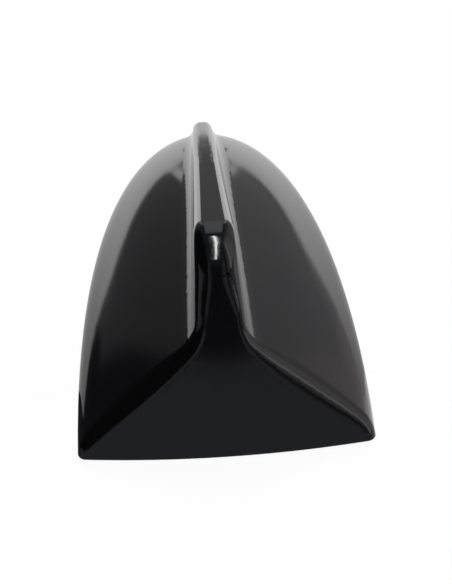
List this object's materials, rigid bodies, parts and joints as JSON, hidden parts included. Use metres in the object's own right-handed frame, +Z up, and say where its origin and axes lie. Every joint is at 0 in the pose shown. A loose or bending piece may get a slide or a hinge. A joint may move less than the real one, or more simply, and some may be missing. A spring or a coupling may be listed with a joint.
{
  "type": "car roof antenna",
  "caption": "Fin-shaped car roof antenna: gloss black tapered cover over a flat adhesive base, with the AM/FM amplifier and aerial inside and a cable outlet below.",
  "frame": {"origin": "middle of the footprint, on the underside of the adhesive pad", "axes": "+Y towards the narrow nose, +Z up out of the roof, +X to the right seen from behind"},
  "size_m": [0.0724, 0.1617, 0.0513],
  "materials": {
    "cover_gloss": "polished black moulding",
    "base_plastic": "moulded",
    "pad_foam": "closed-cell foam",
    "seal_rubber": "soft matt",
    "screw_steel": "zinc plated",
    "tinned_sheet": "tin plated",
    "board_green": "solder mask over glass laminate",
    "chip_black": "moulded",
    "ceramic_tan": "fired ceramic",
    "capacitor_can": "drawn can",
    "ferrite": "pressed ferrite",
    "contact_brass": "bright",
    "holder_white": "natural moulding",
    "coil_copper": "enamelled copper"
  },
  "bodies": {
    "root": {"fin_cover": "cover_gloss", "base_plate": "base_plastic", "mounting_pad": "pad_foam", "rim_seal": "seal_rubber", "cover_screws": "screw_steel", "cable_grommet": "seal_rubber", "ground_plate": "tinned_sheet", "ground_spring": "contact_brass", "amplifier_board": "board_green", "board_screws": "screw_steel", "shield_can": "tinned_sheet", "amplifier_chip": "chip_black", "supply_capacitor": "capacitor_can", "filter_chokes": "ferrite", "chip_capacitors": "ceramic_tan", "coax_socket": "contact_brass", "element_holder": "holder_white", "holder_screws": "screw_steel", "top_element": "tinned_sheet", "coil_former": "holder_white", "helical_coil": "coil_copper", "element_pin": "contact_brass"}
  },
  "joints": []
}
